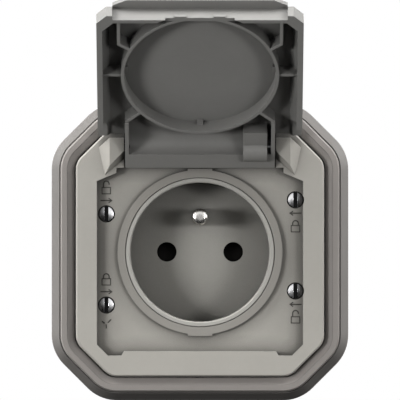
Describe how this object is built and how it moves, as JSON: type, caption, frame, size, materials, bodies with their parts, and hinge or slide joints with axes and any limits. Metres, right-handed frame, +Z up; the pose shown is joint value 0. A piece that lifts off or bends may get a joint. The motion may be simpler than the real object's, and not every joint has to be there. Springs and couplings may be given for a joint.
{
  "type": "flush outdoor wall socket",
  "caption": "Flush weatherproof wall socket: octagonal surround, round plug well with an earth pin, quarter-turn lock screws and a hinged lid standing open.",
  "frame": {"origin": "on the wall's surface, behind the centre of the round plug well, midway between the wall-screw slots", "axes": "+Z up, -Y out of the wall into the room, +X to the right as seen from the room"},
  "size_m": [0.0844, 0.0781, 0.1132],
  "materials": {
    "frame_plastic": "fine satin moulding",
    "lid_plastic": "fine satin moulding",
    "plate_plastic": "fine satin moulding",
    "well_plastic": "smooth moulding",
    "wall_seal_rubber": "matt soft moulding",
    "well_seal_rubber": "matt soft moulding",
    "gasket_rubber": "matt",
    "zinc_steel": "zinc plated",
    "screw_steel": "bright plated",
    "earth_pin_nickel": "nickel plated",
    "contact_brass": "rolled",
    "housing_plastic": "plain moulding",
    "shutter_plastic": "plain moulding",
    "guide_plastic": "plain moulding",
    "spring_steel": "drawn wire"
  },
  "bodies": {
    "base": {"wall_seal": "wall_seal_rubber", "surround_plate": "plate_plastic", "support_frame": "zinc_steel", "frame_gasket": "gasket_rubber", "front_frame": "frame_plastic", "well_seal": "well_seal_rubber", "socket_well": "well_plastic", "earth_pin": "earth_pin_nickel", "earth_strap": "contact_brass", "live_contact": "contact_brass", "neutral_contact": "contact_brass", "live_clamp": "contact_brass", "neutral_clamp": "contact_brass", "earth_clamp": "contact_brass", "shutter_guide": "guide_plastic", "shutter_spring": "spring_steel", "rear_housing": "housing_plastic", "housing_screws": "zinc_steel", "terminal_screws": "zinc_steel", "hinge_pin_left": "zinc_steel", "hinge_pin_right": "zinc_steel"},
    "lid": {"lid": "lid_plastic"},
    "shutter": {"shutter": "shutter_plastic"},
    "lock_top_left": {"lock_screw_top_left": "screw_steel"},
    "lock_bottom_left": {"lock_screw_bottom_left": "screw_steel"},
    "lock_top_right": {"lock_screw_top_right": "screw_steel"},
    "lock_bottom_right": {"lock_screw_bottom_right": "screw_steel"}
  },
  "joints": [
    {"name": "lid_hinge", "type": "hinge", "parent": "base", "child": "lid", "pos_m": [0, -0.009, 0.0298], "axis": [1, 0, 0], "range_deg": [0, 136]},
    {"name": "shutter_slide", "type": "slide", "parent": "base", "child": "shutter", "axis": [0, 0, -1], "range_m": [0, 0.007], "stiffness_N_per_m": 60, "springref_m": -0.005, "deforming": ["shutter_spring"]},
    {"name": "lock_top_left_turn", "type": "hinge", "parent": "base", "child": "lock_top_left", "pos_m": [-0.0266, -0.004, 0.0109], "axis": [0, 1, 0], "range_deg": [0, 90]},
    {"name": "lock_bottom_left_turn", "type": "hinge", "parent": "base", "child": "lock_bottom_left", "pos_m": [-0.0266, -0.004, -0.015], "axis": [0, 1, 0], "range_deg": [0, 90]},
    {"name": "lock_top_right_turn", "type": "hinge", "parent": "base", "child": "lock_top_right", "pos_m": [0.0271, -0.004, 0.0149], "axis": [0, 1, 0], "range_deg": [0, 90]},
    {"name": "lock_bottom_right_turn", "type": "hinge", "parent": "base", "child": "lock_bottom_right", "pos_m": [0.0271, -0.004, -0.011], "axis": [0, 1, 0], "range_deg": [0, 90]}
  ]
}
